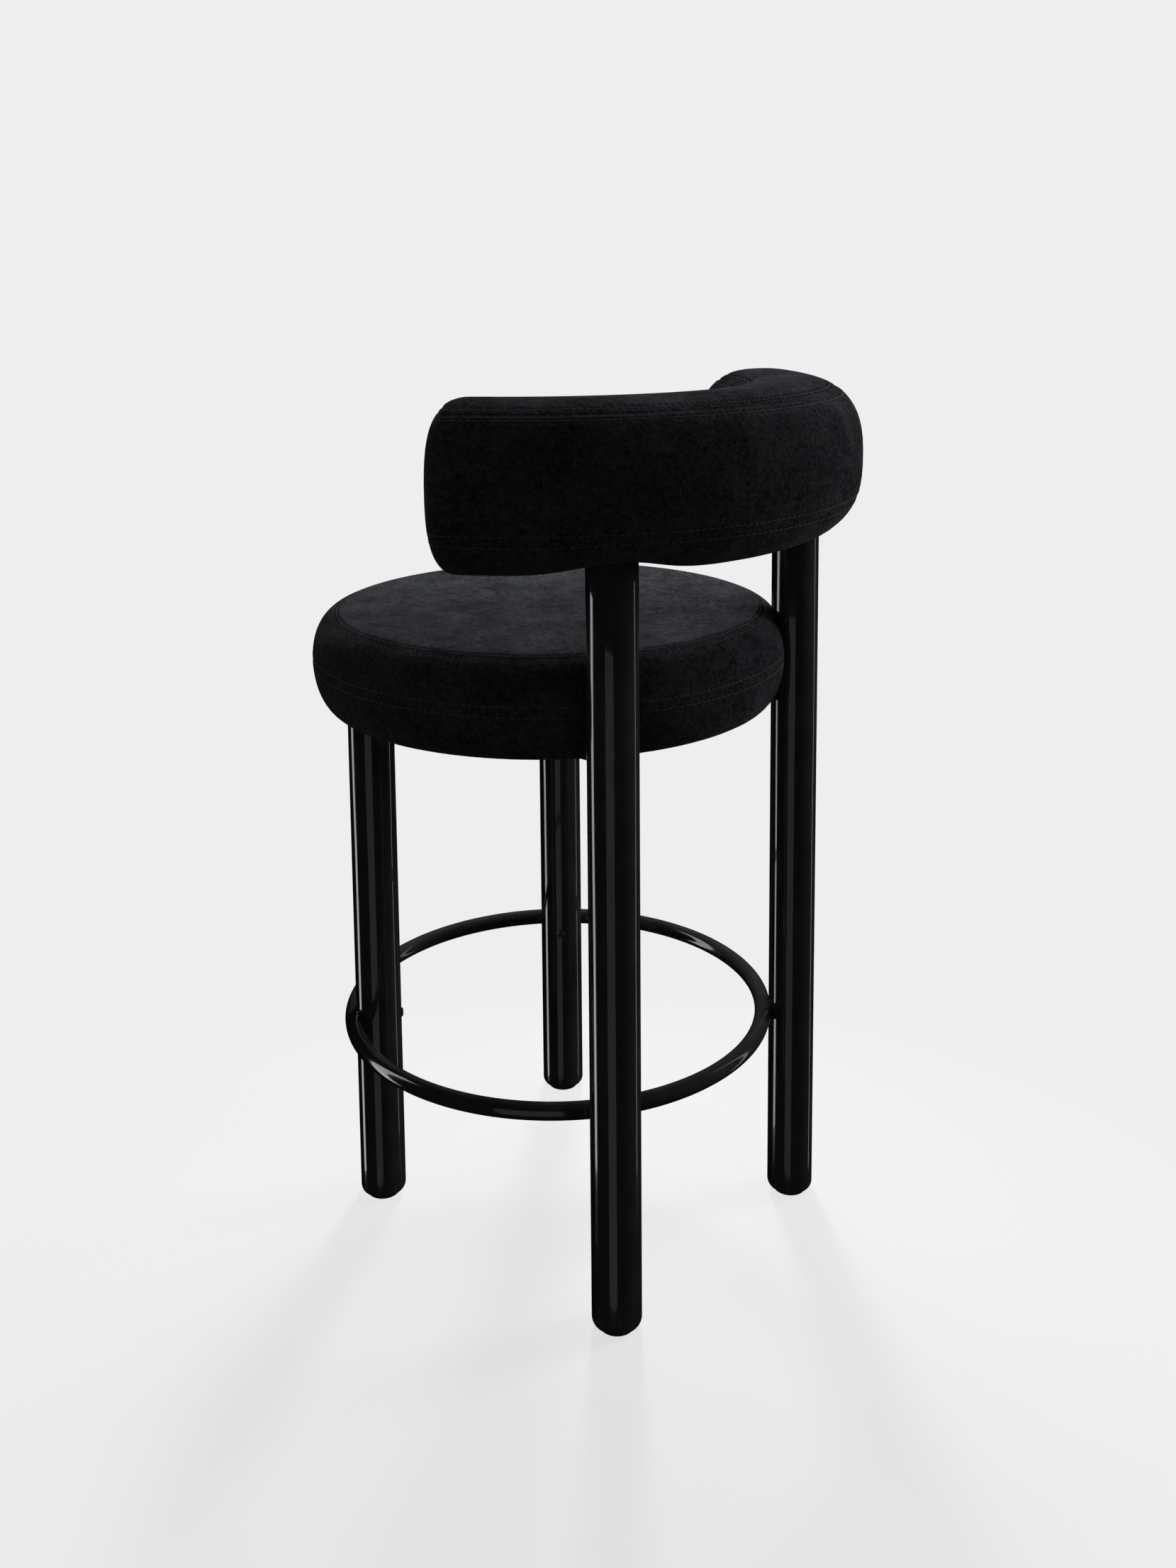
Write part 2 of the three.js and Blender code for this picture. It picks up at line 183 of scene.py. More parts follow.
class Finish:
    """A material under way. node() puts in one node and gives one of its outputs."""

    def __init__(self, name, **fixed):
        self.material = bpy.data.materials.new(name)
        self.material.use_nodes = True
        self.tree = self.material.node_tree
        self.shader = self.tree.nodes["Principled BSDF"]
        for socket, value in fixed.items():
            self.shader.inputs[socket.replace("_", " ")].default_value = value
        self.place = self.node("ShaderNodeTexCoord", output="Object")

    def feed(self, socket, value):
        if isinstance(value, Value):
            self.tree.links.new(value.socket, socket)
        else:
            socket.default_value = value

    def node(self, kind, settings=(), inputs=(), output=0):
        node = self.tree.nodes.new(kind)
        for key, value in dict(settings).items():
            setattr(node, key, value)
        for key, value in dict(inputs).items():
            self.feed(node.inputs[key], value)
        return Value(self, node.outputs[output])

    def noise(self, scale, detail=2.0, place=None, rough=0.5):
        return self.node("ShaderNodeTexNoise", inputs={
            "Vector": place or self.place, "Scale": scale, "Detail": detail, "Roughness": rough})

    def stretched(self, x, y, z):
        return self.node("ShaderNodeVectorMath", {"operation": "MULTIPLY"},
                         {0: self.place, 1: (x, y, z)})

    def between(self, low, high, share):
        """A colour between two, by a share that runs from 0 to 1."""
        return self.node("ShaderNodeMix", {"data_type": "RGBA"},
                         {0: share, 6: (*low, 1), 7: (*high, 1)}, output=2)

    def spread(self, value, low, high, to_low=0.0, to_high=1.0):
        """The value's range low..high stretched over to_low..to_high, and held at its ends."""
        return self.node("ShaderNodeMapRange", inputs={
            "Value": value, "From Min": low, "From Max": high,
            "To Min": to_low, "To Max": to_high})

    def surface(self, **links):
        for socket, value in links.items():
            self.feed(self.shader.inputs[socket.replace("_", " ")], value)

    def relief(self, height, depth, strength=1.0):
        """Raises the surface by height times depth, in metres, and gives the new normal."""
        bump = self.node("ShaderNodeBump", inputs={
            "Height": height, "Distance": depth, "Strength": strength})
        self.surface(Normal=bump)
        return bump

    def mixed(self, second, share):
        """The finish's own shader and a second one, mixed by a share that runs from 0 to 1."""
        mix = self.node("ShaderNodeMixShader", inputs={
            0: share, 1: Value(self, self.shader.outputs[0]), 2: second})
        self.feed(self.tree.nodes["Material Output"].inputs["Surface"], mix)


def dress(piece, finish):
    """Gives a new piece its one material, or a CAD node the better one in its own slots."""
    if not piece.data.materials:
        piece.data.materials.append(finish.material)
    for slot in piece.material_slots:
        slot.material = finish.material


SHADOW_MIDDLE = (0.36, 0.32, 0)
MATTE_RADIUS, GLOW_RADIUS = 0.15, 0.95
paper = Finish("floor_paper", Roughness=0.9, Specular_IOR_Level=0.0)
grain = paper.noise(90, 4)
paper.surface(Base_Color=paper.between((0.62,) * 3, (0.64,) * 3, grain))
paper.relief(grain, 0.2 * MM, 0.3)
away = paper.node("ShaderNodeVectorMath", {"operation": "DISTANCE"},
                  {0: paper.place, 1: SHADOW_MIDDLE}, "Value")
glow = paper.node("ShaderNodeEmission", inputs={"Color": (PAPER, PAPER, PAPER, 1)})
paper.mixed(glow, paper.spread(away, MATTE_RADIUS, GLOW_RADIUS, 0.8, 1.0))

FLOOR_RADIUS, FLOOR_THICK = 20, 0.01
turn = np.linspace(0, 2 * np.pi, 96, endpoint=False)
rings = np.array([[[FLOOR_RADIUS * math.cos(t), FLOOR_RADIUS * math.sin(t), z] for t in turn]
                  for z in (0, -FLOOR_THICK)])
floor = skin("studio_floor", rings, [(0, 0, 0), (0, 0, -FLOOR_THICK)], smooth=False)
floor.visible_glossy = floor.visible_diffuse = False
dress(floor, paper)

# ---- Legs ---------------------------------------------------------------------------------------
# Four straight steel tubes with a rounded cap welded into the foot, ground smooth and painted
# together in black gloss. The rear two run on up inside the backrest.
SCUFF_TOP, SCUFF_FULL = 35 * MM, 8 * MM
gloss = Finish("black_gloss_paint", Roughness=0.12, IOR=1.5, Coat_Weight=1.0, Coat_Roughness=0.03,
               Coat_IOR=1.5)
cloud = gloss.noise(35, 3)
orange_peel = gloss.noise(420, 1)
scuffs = gloss.noise(160, 4, gloss.stretched(1, 1, 0.25))
height = gloss.node("ShaderNodeSeparateXYZ", inputs={0: gloss.place}, output="Z")
worn = gloss.spread(scuffs, 0.56, 0.7) * gloss.spread(height, SCUFF_TOP, SCUFF_FULL)
gloss.surface(
    Base_Color=gloss.between((0.014, 0.014, 0.0144), (0.032, 0.032, 0.033),
                             gloss.spread(cloud, 0.3, 0.8, 0, 0.35) + worn * 0.6),
    Roughness=gloss.spread(cloud, 0.3, 0.75, 0.08, 0.2) + worn * 0.25,
    Coat_Weight=1.0 - worn * 0.6)
gloss.relief(orange_peel, 0.02 * MM, 0.35)

QUARTER_TURN = np.linspace(0, np.pi / 2, 9)
AROUND = np.linspace(0, 2 * np.pi, 96, endpoint=False)
FOOT_BASE = 17.6 * MM
FOOT_CORNER = 7.5 * MM
WALL = 2 * MM
SCREW_BORE = 2.5 * MM
SPIGOT_TOP = 27 * MM
EASE = 0.4 * MM


def turned(outline, centre, angles=AROUND):
    """Rings of a shape turned about an upright axis: each outline point (radius, height) becomes
    a level circle of that radius at that height."""
    radii, heights = np.array(outline, float).T[:, :, None]
    return np.stack([centre[0] + radii * np.cos(angles), centre[1] + radii * np.sin(angles),
                     heights + 0 * angles], -1)


legs = {}
for name in ("rear_right", "rear_left", "front_right", "front_left"):
    low_corner, high_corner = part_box(f"{name}_leg")
    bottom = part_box(f"{name}_foot_cap")[0].z
    middle = (low_corner + high_corner) / 2
    leg_radius = (high_corner.x - low_corner.x) / 2
    top = high_corner.z
    bore = leg_radius - WALL
    legs[name] = (middle.x, middle.y, leg_radius)
    corner = [(FOOT_BASE + (leg_radius - FOOT_BASE) * math.sin(t),
               bottom + FOOT_CORNER * (1 - math.cos(t))) for t in QUARTER_TURN]
    shaft = [(leg_radius, level) for level in (0.04, 0.2, 0.4)]
    outline = [(SCREW_BORE, bottom), (FOOT_BASE * 0.6, bottom), *corner, *shaft,
               (leg_radius, top - EASE), (leg_radius - EASE, top), (bore + EASE, top),
               (bore, top - EASE), (bore, SPIGOT_TOP), (SCREW_BORE, SPIGOT_TOP)]
    tube = skin(f"{name}_painted_tube", turned(outline, middle), loop=True)
    dress(tube, gloss)
    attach(tube, "root")
    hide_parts(f"{name}_leg", f"{name}_foot_cap")
rear_legs = [legs["rear_right"], legs["rear_left"]]

# ---- Glides -------------------------------------------------------------------------------------
# A thin moulded disc under each foot, held by a countersunk steel screw.
plastic = Finish("black_plastic", Roughness=0.5, IOR=1.5)
speckle = plastic.noise(700, 3)
rubbed = plastic.noise(60, 4)
plastic.surface(Base_Color=plastic.between((0.012, 0.012, 0.013), (0.05, 0.049, 0.047),
                                           plastic.spread(rubbed, 0.45, 0.75)),
                Roughness=plastic.spread(rubbed, 0.3, 0.7, 0.4, 0.7))
plastic.relief(speckle, 0.15 * MM, 0.5)

zinc = Finish("zinc_steel", Metallic=1.0, IOR=2.0)
spangle = zinc.node("ShaderNodeTexVoronoi", inputs={"Vector": zinc.place, "Scale": 900})
streak = zinc.noise(240, 3, zinc.stretched(1, 1, 6))
zinc.surface(Base_Color=zinc.between((0.36, 0.37, 0.38), (0.62, 0.63, 0.62), streak),
             Roughness=zinc.spread(spangle, 0, 1, 0.25, 0.45))
zinc.relief(streak, 0.05 * MM, 0.5)
for name in legs:
    dress(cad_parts[f"{name}_glide"], plastic)
    dress(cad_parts[f"{name}_glide_screw"], zinc)

# ---- Footrest -----------------------------------------------------------------------------------
# One thin tube bent to a full circle, let into the four legs and welded all round each joint.
# A domed screw through each front leg draws the ring tight.
low_corner, high_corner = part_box("footrest_ring")
ring_tube = (high_corner.z - low_corner.z) / 2
ring_radius = (high_corner.x - low_corner.x) / 2 - ring_tube
ring_z = (high_corner.z + low_corner.z) / 2
ring_y = (high_corner.y + low_corner.y) / 2
ring_middle = np.array([0, ring_y, ring_z])
UP = np.array([0, 0, 1])


def bent_round(name, radius, tube, centre, along, around):
    """A circle carried round a larger circle: the tube's own angle moves it out and up from the
    centre line, and the ring's angle turns it about the upright axis."""
    main = np.linspace(0, 2 * np.pi, along, endpoint=False)[:, None]
    own = np.linspace(0, 2 * np.pi, around, endpoint=False)
    reach = radius + tube * np.cos(own)
    rings = np.stack([reach * np.cos(main), reach * np.sin(main),
                      tube * np.sin(own) + 0 * main], -1)
    return skin(name, rings + centre, loop=True)


footrest = bent_round("footrest_painted_ring", ring_radius, ring_tube, ring_middle, 288, 32)
dress(footrest, gloss)
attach(footrest, "root")
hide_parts("footrest_ring")

BEAD = 1.5 * MM
BEAD_RIPPLES = 18
BEAD_STEPS = 72


def carried(path, radii, around):
    """A circle carried along a closed path. Each ring lies across the path's direction there,
    spanned by the path's side and lift directions."""
    ahead = np.roll(path, -1, 0) - np.roll(path, 1, 0)
    ahead /= np.linalg.norm(ahead, axis=1, keepdims=True)
    outward = path - path.mean(0)
    side = outward - np.einsum("ij,ij->i", outward, ahead)[:, None] * ahead
    side /= np.linalg.norm(side, axis=1, keepdims=True)
    lift = np.cross(ahead, side)
    own = np.linspace(0, 2 * np.pi, around, endpoint=False)[None, :, None]
    return path[:, None] + radii[:, None, None] * (
        np.cos(own) * side[:, None] + np.sin(own) * lift[:, None])


def weld(name, x, y, leg_radius, inward):
    """The closed line where the ring's skin meets the leg's: out from the middle of the joint,
    at every angle, the distance is halved until the point is on both skins."""
    reach = np.hypot(x, y - ring_y)
    out = np.array([x, y - ring_y, 0]) / reach
    along = np.array([-out[1], out[0], 0])
    bearing = np.linspace(0, 2 * np.pi, BEAD_STEPS, endpoint=False)
    near, far = np.zeros(BEAD_STEPS), np.full(BEAD_STEPS, leg_radius * 0.98)

    def gap(distance):
        t, z = distance * np.cos(bearing), distance * np.sin(bearing)
        depth = reach - inward * np.sqrt(leg_radius ** 2 - t ** 2)
        return (np.hypot(depth, t) - ring_radius) ** 2 + z ** 2 - ring_tube ** 2, depth, t, z

    for _ in range(40):
        half = (near + far) / 2
        inside = gap(half)[0] < 0
        near, far = np.where(inside, half, near), np.where(inside, far, half)
    _, depth, t, z = gap(near)
    path = ring_middle + depth[:, None] * out + t[:, None] * along + z[:, None] * UP
    ripple = 1 + 0.1 * np.cos(BEAD_RIPPLES * bearing)
    bead = skin(name, carried(path, BEAD * ripple, 10), loop=True)
    dress(bead, gloss)
    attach(bead, "root")


for name, (x, y, leg_radius) in legs.items():
    weld(f"{name}_ring_weld", x, y, leg_radius, 1 if name.startswith("rear") else -1)

HEAD_RADIUS = 4.8 * MM
HEAD_SEAT = 0.2 * MM
SOCKET = 1.7 * MM
for side in ("right", "left"):
    x, y, leg_radius = legs[f"front_{side}"]
    out = np.array([x, y - ring_y, 0]) / np.hypot(x, y - ring_y)
    across = np.array([-out[1], out[0], 0])
    circle_angles = AROUND[::2]
    circle = np.ones(len(circle_angles))
    hexagon = SOCKET / np.cos((circle_angles + np.pi / 6) % (np.pi / 3) - np.pi / 6)
    # Ring by ring, from the bottom of the socket over the dome to the shank inside the tube.
    socket = [(0.2 * circle * MM, -0.6), (hexagon * 0.97, -0.6), (hexagon, -1.65),
              (hexagon * 1.12, -1.8)]
    dome = [(share * HEAD_RADIUS * circle, depth) for share, depth in (
        (0.62, -1.7), (0.85, -1.2), (0.97, -0.6), (1, -0.2), (0.98, 0.2), (0.6, 0.3), (0.6, 3))]
    start = np.array([x, y, ring_z]) - out * (leg_radius + HEAD_SEAT)
    rings = np.array([start + out * depth * MM + r[:, None] * (
        np.cos(circle_angles)[:, None] * across + np.sin(circle_angles)[:, None] * UP)
        for r, depth in socket + dome])
    screw = skin(f"front_{side}_ring_screw_head", rings, [rings[0].mean(0), rings[-1].mean(0)])
    dress(screw, gloss)
    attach(screw, "root")
    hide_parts(f"front_{side}_ring_screw")

# ---- Seat frame ---------------------------------------------------------------------------------
# Steel plates, rails and straps in the same paint, screwed up into a round plywood board, with a
# woven dust cover stretched over the hollow underneath.
for name in ("front_right_top_plate", "front_left_top_plate", "seat_rail_right", "seat_rail_left",
             "seat_strap_front", "seat_strap_rear"):
    dress(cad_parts[name], gloss)
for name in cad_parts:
    if "plate_screw" in name or "strap_screw" in name or "post_bolt" in name:
        dress(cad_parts[name], zinc)
    if "post_plug" in name:
        dress(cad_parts[name], plastic)

plywood = Finish("plywood", Roughness=0.6, IOR=1.45)
fibres = plywood.noise(30, 6, plywood.stretched(1, 14, 1), 0.6)
growth_rings = plywood.node("ShaderNodeTexWave", {"bands_direction": "Y"}, {
    "Vector": plywood.stretched(0.3, 1, 1), "Scale": 14, "Distortion": 9, "Detail": 3,
    "Detail Scale": 0.8}, output=1)
layers = plywood.node("ShaderNodeTexWave", {"bands_direction": "Z"}, {
    "Vector": plywood.place, "Scale": 105, "Distortion": 0.4}, output=1)
plywood.surface(Base_Color=plywood.between((0.36, 0.22, 0.11), (0.66, 0.48, 0.29),
                                           fibres * 0.5 + growth_rings * 0.35 + layers * 0.15),
                Roughness=plywood.spread(fibres, 0.3, 0.7, 0.5, 0.75))
plywood.relief(fibres, 0.2 * MM, 0.5)
dress(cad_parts["seat_board"], plywood)
dress(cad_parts["backrest_core"], plywood)

cover_cloth = Finish("cover_cloth", Roughness=0.9, Sheen_Weight=0.3, Sheen_Roughness=0.5)
warp, weft = (cover_cloth.node("ShaderNodeTexWave", {"bands_direction": direction}, {
    "Vector": cover_cloth.place, "Scale": 45, "Distortion": 0.6}, output=1)
    for direction in ("X", "Y"))
weave = warp * weft
cover_cloth.surface(Base_Color=cover_cloth.between(
    (0.006, 0.006, 0.007), (0.03, 0.03, 0.032), weave * 0.7 + cover_cloth.noise(25, 3) * 0.3))
cover_cloth.relief(weave, 0.4 * MM, 0.6)
dress(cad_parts["seat_dust_cover"], cover_cloth)

# ---- Seat cushion -------------------------------------------------------------------------------
# A deep round cushion in black velvet: a slightly crowned top panel, a full side band and a
# lower band, joined by two top-stitched seams. The rear legs press into its edge.
PILE_TINT = (0.72, 0.77, 0.86, 1)
velvet = Finish("black_velvet", Roughness=0.95, Specular_IOR_Level=0.1, Sheen_Weight=0.015,
                Sheen_Roughness=0.35, Sheen_Tint=PILE_TINT)
clouds = velvet.noise(20, 3, rough=0.6)
brushed = velvet.noise(190, 4, velvet.stretched(1, 0.6, 1), 0.75)
nap = velvet.noise(420, 4, rough=0.8)
lint = velvet.spread(velvet.noise(620, 2, rough=0.6), 0.56, 0.74)
tone = velvet.spread(clouds * 0.2 + brushed * 0.36 + nap * 0.44, 0.4, 0.6)
shade = tone * 0.7 + lint * 0.5
velvet.surface(Base_Color=velvet.between((0.0016, 0.0016, 0.0022), (0.026, 0.0268, 0.0302), shade),
               Roughness=velvet.spread(brushed, 0.3, 0.7, 0.85, 1.0))
pile = velvet.relief(nap * 0.5 + brushed * 0.5, 1.2 * MM, 0.7)
raised = velvet.node("ShaderNodeBsdfPrincipled", inputs={
    "Base Color": velvet.between((0.0018, 0.0018, 0.0024), (0.027, 0.028, 0.0315), shade),
    "Roughness": 0.95, "Specular IOR Level": 0.1, "Sheen Weight": 0.075, "Sheen Roughness": 0.35,
    "Sheen Tint": PILE_TINT, "Normal": pile})
velvet.mixed(raised, velvet.spread(shade, 0.15, 0.8))

thread = Finish("velvet_thread", Roughness=0.7, Sheen_Weight=0.15, Sheen_Roughness=0.4)
ply = thread.noise(1500, 1, thread.stretched(1, 1, 2))
thread.surface(Base_Color=thread.between((0.018, 0.018, 0.019), (0.065, 0.064, 0.066), ply))
thread.relief(ply, 0.2 * MM, 0.6)

STITCH_PITCH = 6.5 * MM
STITCH_SHARE = 0.66
THREAD_RADIUS = 0.42 * MM


def picked(grid, ring, spot):
    """Points of a grid at ring and spot numbers that may fall between its points: the four
    nearest points are weighed by how close they are. Spots wrap round the ring."""
    ring = np.clip(ring, 0, len(grid) - 1.001)
    i, j = np.floor(ring).astype(int), np.floor(spot).astype(int)
    a, b = (ring - i)[..., None], (spot - j)[..., None]
    j, k = j % grid.shape[1], (j + 1) % grid.shape[1]
    return ((1 - a) * ((1 - b) * grid[i, j] + b * grid[i, k])
            + a * ((1 - b) * grid[i + 1, j] + b * grid[i + 1, k]))


def facing(rings, middle):
    """Outward directions at the points of a grid of rings: the cross product of its two tangents,
    turned round if it points towards the middle."""
    down = np.gradient(rings, axis=0)
    onward = np.roll(rings, -1, 1) - np.roll(rings, 1, 1)
    cross = np.cross(down, onward)
    out = cross / np.maximum(np.linalg.norm(cross, axis=-1, keepdims=True), 1e-12)
    return out if np.einsum("ijk,ijk->", out, rings - middle) > 0 else -out


def stitches(name, starts, ends, up):
    """One short run of thread for each stitch: a six-sided skin along a line that rises by a
    thread's thickness at its middle and dips into the cloth at both ends."""
    sides = 6
    share = np.array([0.0, 0.15, 0.5, 0.85, 1.0])[None, :, None]
    thick = np.array([0.45, 0.9, 1.0, 0.9, 0.45])[None, :, None, None] * THREAD_RADIUS
    line = starts[:, None] + (ends - starts)[:, None] * share
    line = line + up[:, None] * (np.sin(np.pi * share) * 0.8 - 0.35) * THREAD_RADIUS
    ahead = ends - starts
    ahead /= np.linalg.norm(ahead, axis=1, keepdims=True)
    side = np.cross(ahead, up)[:, None, None]
    own = np.linspace(0, 2 * np.pi, sides, endpoint=False)[None, None, :, None]
    rings = line[:, :, None] + thick * (np.cos(own) * side + np.sin(own) * up[:, None, None])
    each = share.size * sides
    index = np.arange(each).reshape(share.size, sides)
    near, far = index[:-1], index[1:]
    quads = np.stack([near, np.roll(near, -1, 1), np.roll(far, -1, 1), far], -1).reshape(-1, 4)
    caps = np.stack([index[0], index[-1][::-1]])
    every = each * np.arange(len(starts))[:, None, None]
    faces = (quads[None] + every).reshape(-1, 4).tolist()
    faces += (caps[None] + every).reshape(-1, sides).tolist()
    mesh = bpy.data.meshes.new(name)
    mesh.from_pydata(rings.reshape(-1, 3).tolist(), [], faces)
    mesh.shade_smooth()
    piece = bpy.data.objects.new(name, mesh)
    scene.collection.objects.link(piece)
    dress(piece, thread)
    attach(piece, "root")


def points_of(piece):
    points = np.empty(len(piece.data.vertices) * 3)
    piece.data.vertices.foreach_get("co", points)
    return points.reshape(-1, 3)


def baked(piece):
    """Replaces the piece's mesh with what its modifiers make of it."""
    graph = bpy.context.evaluated_depsgraph_get()
    made = bpy.data.meshes.new_from_object(piece.evaluated_get(graph))
    piece.modifiers.clear()
    piece.data = made


GRAIN_SIZE = 6 * MM
SWELL_CAP = 22 * MM
SWELL_STEPS = 20
SWELL_SHARE = 0.35


def blown(name, rings, poles, held):
    """The cover of a stuffed piece, blown up against its seams: a voxel remesh of the shape, a
    cloth under pressure with the seam lines held, and no point moved further than the cap."""
    cover = skin(name, rings, poles)
    remesh = cover.modifiers.new("remesh", "REMESH")
    remesh.mode, remesh.voxel_size = "VOXEL", GRAIN_SIZE
    baked(cover)
    rest = points_of(cover)
    pin = cover.vertex_groups.new(name="seams")
    pin.add(np.flatnonzero(held(rest)).tolist(), 1.0, "REPLACE")
    cloth = cover.modifiers.new("cloth", "CLOTH")
    cloth.settings.vertex_group_mass = "seams"
    cloth.settings.use_pressure = True
    cloth.settings.uniform_pressure_force = 4
    cloth.settings.effector_weights.gravity = 0
    cloth.settings.quality = 5
    cloth.point_cache.frame_start, cloth.point_cache.frame_end = 1, SWELL_STEPS
    for step in range(1, SWELL_STEPS + 1):
        scene.frame_set(step)
    baked(cover)
    scene.frame_set(1)
    move = points_of(cover) - rest
    far = np.linalg.norm(move, axis=1, keepdims=True)
    move *= np.minimum(1, SWELL_CAP / np.maximum(far, 1e-9))
    cover.data.vertices.foreach_set("co", (rest + move).ravel())
    cover.data.update()
    finer = cover.modifiers.new("finer", "SUBSURF")
    finer.levels = finer.render_levels = 1
    baked(cover)
    return cover


def swollen(rings, poles, cover):
    """The rings' points moved a share of the way along their own outward directions onto the
    blown cover."""
    probe = skin("probe", rings, poles)
    wrap = probe.modifiers.new("wrap", "SHRINKWRAP")
    wrap.wrap_method, wrap.target = "PROJECT", cover
    wrap.use_negative_direction = wrap.use_positive_direction = True
    wrap.project_limit = 30 * MM
    baked(probe)
    made = points_of(probe)[:rings.shape[0] * rings.shape[1]].reshape(rings.shape)
    for thing in (probe, cover):
        bpy.data.objects.remove(thing)
    return rings + (made - rings) * SWELL_SHARE


def groove(place, at, depth, width):
    """A groove across a place on the outline: a bell curve of that depth and width."""
    return -depth * np.exp(-((place - at) / width) ** 2)


def crowded(stops):
    """Places along a line: each stop is (from, to, count), and the runs follow each other."""
    return np.concatenate([np.linspace(a, b, n, endpoint=False) for a, b, n in stops])


seat_low, seat_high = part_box("seat_cushion")
seat_centre = (seat_low + seat_high) / 2
SEAT_RADIUS = (seat_high.x - seat_low.x) / 2
SHOULDER_IN, SHOULDER_POWER = 34.6 * MM, 2.29
BAND_IN, BAND_POWER = 23.7 * MM, 1.93
CROWN_RISE = 2 * MM
WIDE_Z = seat_low.z + 50 * MM
FLAT_Z = seat_high.z - CROWN_RISE
HEM_Z = seat_low.z + 0.2 * MM
HOLLOW_RADIUS = 220.3 * MM
HOLLOW_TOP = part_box("seat_board")[1].z + 0.4 * MM
HOLLOW_EASE = 1.5 * MM
TOP_SEAM_RADIUS = 226 * MM
LOW_SEAM_Z = WIDE_Z + 1.5 * MM

bend = np.linspace(0, np.pi / 2, 200)[1:]
crown = np.linspace(0, 1, 200)
radii = np.concatenate([
    (SEAT_RADIUS - SHOULDER_IN) * crown,
    SEAT_RADIUS - SHOULDER_IN + SHOULDER_IN * np.sin(bend) ** (2 / SHOULDER_POWER),
    SEAT_RADIUS - BAND_IN + BAND_IN * np.cos(bend) ** (2 / BAND_POWER)])
heights = np.concatenate([
    FLAT_Z + CROWN_RISE * (1 - crown ** 2),
    WIDE_Z + (FLAT_Z - WIDE_Z) * np.abs(np.cos(bend)) ** (2 / SHOULDER_POWER),
    WIDE_Z - (WIDE_Z - HEM_Z) * np.sin(bend) ** (2 / BAND_POWER)])
upper = np.argmax(radii) + 1
top_seam_at = np.argmin(np.abs(radii[:upper] - TOP_SEAM_RADIUS))
low_seam_at = np.argmin(np.abs(heights - LOW_SEAM_Z))
hollow = [(HOLLOW_RADIUS + HOLLOW_EASE, HEM_Z), (HOLLOW_RADIUS, seat_low.z + HOLLOW_EASE),
          (HOLLOW_RADIUS, HOLLOW_TOP - HOLLOW_EASE), (HOLLOW_RADIUS - HOLLOW_EASE, HOLLOW_TOP),
          (0, HOLLOW_TOP)]
radii, heights = np.vstack([np.stack([radii, heights], -1), hollow]).T
length = np.concatenate([[0], np.cumsum(np.hypot(np.diff(radii), np.diff(heights)))])
top_seam, low_seam, edge = length[top_seam_at], length[low_seam_at], length[-3]

SEAM_ZONE, LOW_ZONE = 9 * MM, 11 * MM
rows = crowded([
    (4 * MM, top_seam - 50 * MM, 16), (top_seam - 50 * MM, top_seam - SEAM_ZONE, 8),
    (top_seam - SEAM_ZONE, top_seam + SEAM_ZONE, 22),
    (top_seam + SEAM_ZONE, low_seam - LOW_ZONE, 9), (low_seam - LOW_ZONE, low_seam + LOW_ZONE, 22),
    (low_seam + LOW_ZONE, edge - 40 * MM, 14), (edge - 40 * MM, length[-1] - 2 * MM, 10)])
POINTS_A_STITCH = 4
stitch_count = round(2 * math.pi * SEAT_RADIUS / STITCH_PITCH)
angles = np.linspace(0, 2 * np.pi, POINTS_A_STITCH * stitch_count, endpoint=False)
LEG_GAP = 0.6 * MM


def seat_rings(places, angles):
    """Level circles at places along the cushion's outline, pushed out of the way of each rear
    leg: a point's distance from the leg's axis becomes the tenth root of the tenth powers of
    itself and of the leg's radius, added."""
    outline = np.stack([np.interp(places, length, radii), np.interp(places, length, heights)], -1)
    rings = turned(outline, seat_centre, angles)
    for x, y, leg_radius in rear_legs:
        away = rings[..., :2] - [x, y]
        far = np.linalg.norm(away, axis=-1, keepdims=True)
        clear = (far ** 10 + (leg_radius + LEG_GAP) ** 10) ** 0.1
        rings[..., :2] = [x, y] + away / far * clear
    return rings


def seat_held(points):
    """True at the points that can't swell: both seams, the middle of the top, the hollow, the hem
    and near a leg."""
    z = points[:, 2]
    out = np.hypot(points[:, 0] - seat_centre.x, points[:, 1] - seat_centre.y)
    near_leg = np.min([np.hypot(points[:, 0] - x, points[:, 1] - y) - leg_radius
                       for x, y, leg_radius in rear_legs], axis=0) < 6 * MM
    on_top_seam = (np.abs(out - TOP_SEAM_RADIUS) < 4 * MM) & (z > WIDE_Z + 20 * MM)
    on_low_seam = np.abs(z - LOW_SEAM_Z) < 4 * MM
    return on_top_seam | on_low_seam | (out < 200 * MM) | near_leg | (z < seat_low.z + 12 * MM)


seat = seat_rings(rows, angles)
seat_poles = [(seat_centre.x, seat_centre.y, z) for z in (seat_high.z, HOLLOW_TOP)]
coarse = seat_rings(crowded([(20 * MM, length[-1] - 10 * MM, 90)]), AROUND)
seat = swollen(seat, seat_poles, blown("seat_cover", coarse, seat_poles, seat_held))

# Along the outline: where each groove lies, how deep it is and how wide.
SEAT_SEAMS = ((top_seam, 1.1 * MM, 1.1 * MM), (low_seam, 0.5 * MM, 1.0 * MM))
SEAT_ROWS = {"top_seam_inner": (top_seam - 4 * MM, 0.9 * MM, 1.9 * MM),
             "top_seam_outer": (top_seam + 4 * MM, 0.9 * MM, 1.9 * MM),
             "low_seam_upper": (low_seam - 5 * MM, 0.3 * MM, 1.5 * MM),
             "low_seam_lower": (low_seam + 5 * MM, 0.4 * MM, 1.6 * MM)}
place = rows[:, None]
beat = np.cos(angles * stitch_count)[None, :]
relief = (sum(groove(place, *seam) for seam in SEAT_SEAMS)
          + sum(groove(place, *row) for row in SEAT_ROWS.values()) * (1 + beat))
out = facing(seat, np.array(seat_centre))
seat = seat + out * relief[..., None]
cushion = skin("seat_velvet_cushion", seat, seat_poles)
